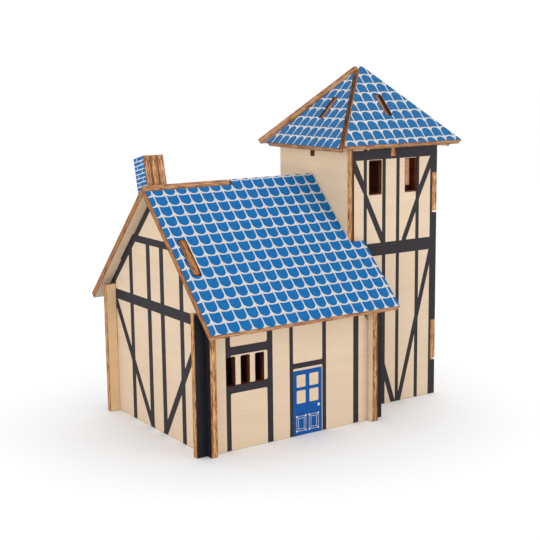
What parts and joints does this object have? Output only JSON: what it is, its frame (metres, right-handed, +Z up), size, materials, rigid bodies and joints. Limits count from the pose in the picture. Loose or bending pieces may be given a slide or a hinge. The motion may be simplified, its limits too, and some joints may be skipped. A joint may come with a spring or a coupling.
{
  "type": "miniature terrain house",
  "caption": "Tabletop half-timbered house with a square tower, slotted together from flat plywood panels, with roofs that lift off.",
  "frame": {"origin": "on the ground, under the middle of the whole house", "axes": "+X along the roof ridge from the low house to the tower, +Y from the door side to the back, +Z up"},
  "size_m": [0.1518, 0.1108, 0.1591],
  "materials": {
    "printed_wall": "bare plywood with dark printed timbers",
    "blue_tiles": "plywood printed with blue tiles",
    "blue_bricks": "plywood printed with blue bricks",
    "cut_edge": "plywood seen at its browned cut edges"
  },
  "bodies": {
    "walls": {"house_front_wall": "printed_wall", "house_back_wall": "printed_wall", "left_gable_wall": "printed_wall", "right_gable_tower_wall": "printed_wall", "tower_front_wall": "printed_wall", "tower_back_wall": "printed_wall", "tower_right_wall": "printed_wall", "tower_window_post": "printed_wall"},
    "front_roof": {"front_roof_panel": "blue_tiles"},
    "back_roof": {"back_roof_panel": "blue_tiles", "chimney_left_layer": "blue_bricks", "chimney_middle_layer": "cut_edge", "chimney_right_layer": "cut_edge"},
    "tower_roof": {"tower_roof_front_panel": "blue_tiles", "tower_roof_right_panel": "blue_tiles", "tower_roof_back_panel": "blue_tiles", "tower_roof_left_panel": "blue_tiles", "tower_roof_cross_frame": "cut_edge", "tower_roof_deep_frame": "cut_edge"}
  },
  "joints": [
    {"name": "front_roof_lift", "type": "slide", "parent": "walls", "child": "front_roof", "axis": [0, -0.7071, 0.7071], "range_m": [0, 0.012]},
    {"name": "back_roof_lift", "type": "slide", "parent": "walls", "child": "back_roof", "axis": [0, 0.7071, 0.7071], "range_m": [0, 0.012]},
    {"name": "tower_roof_lift", "type": "slide", "parent": "walls", "child": "tower_roof", "axis": [0, 0, 1], "range_m": [0, 0.025]}
  ]
}
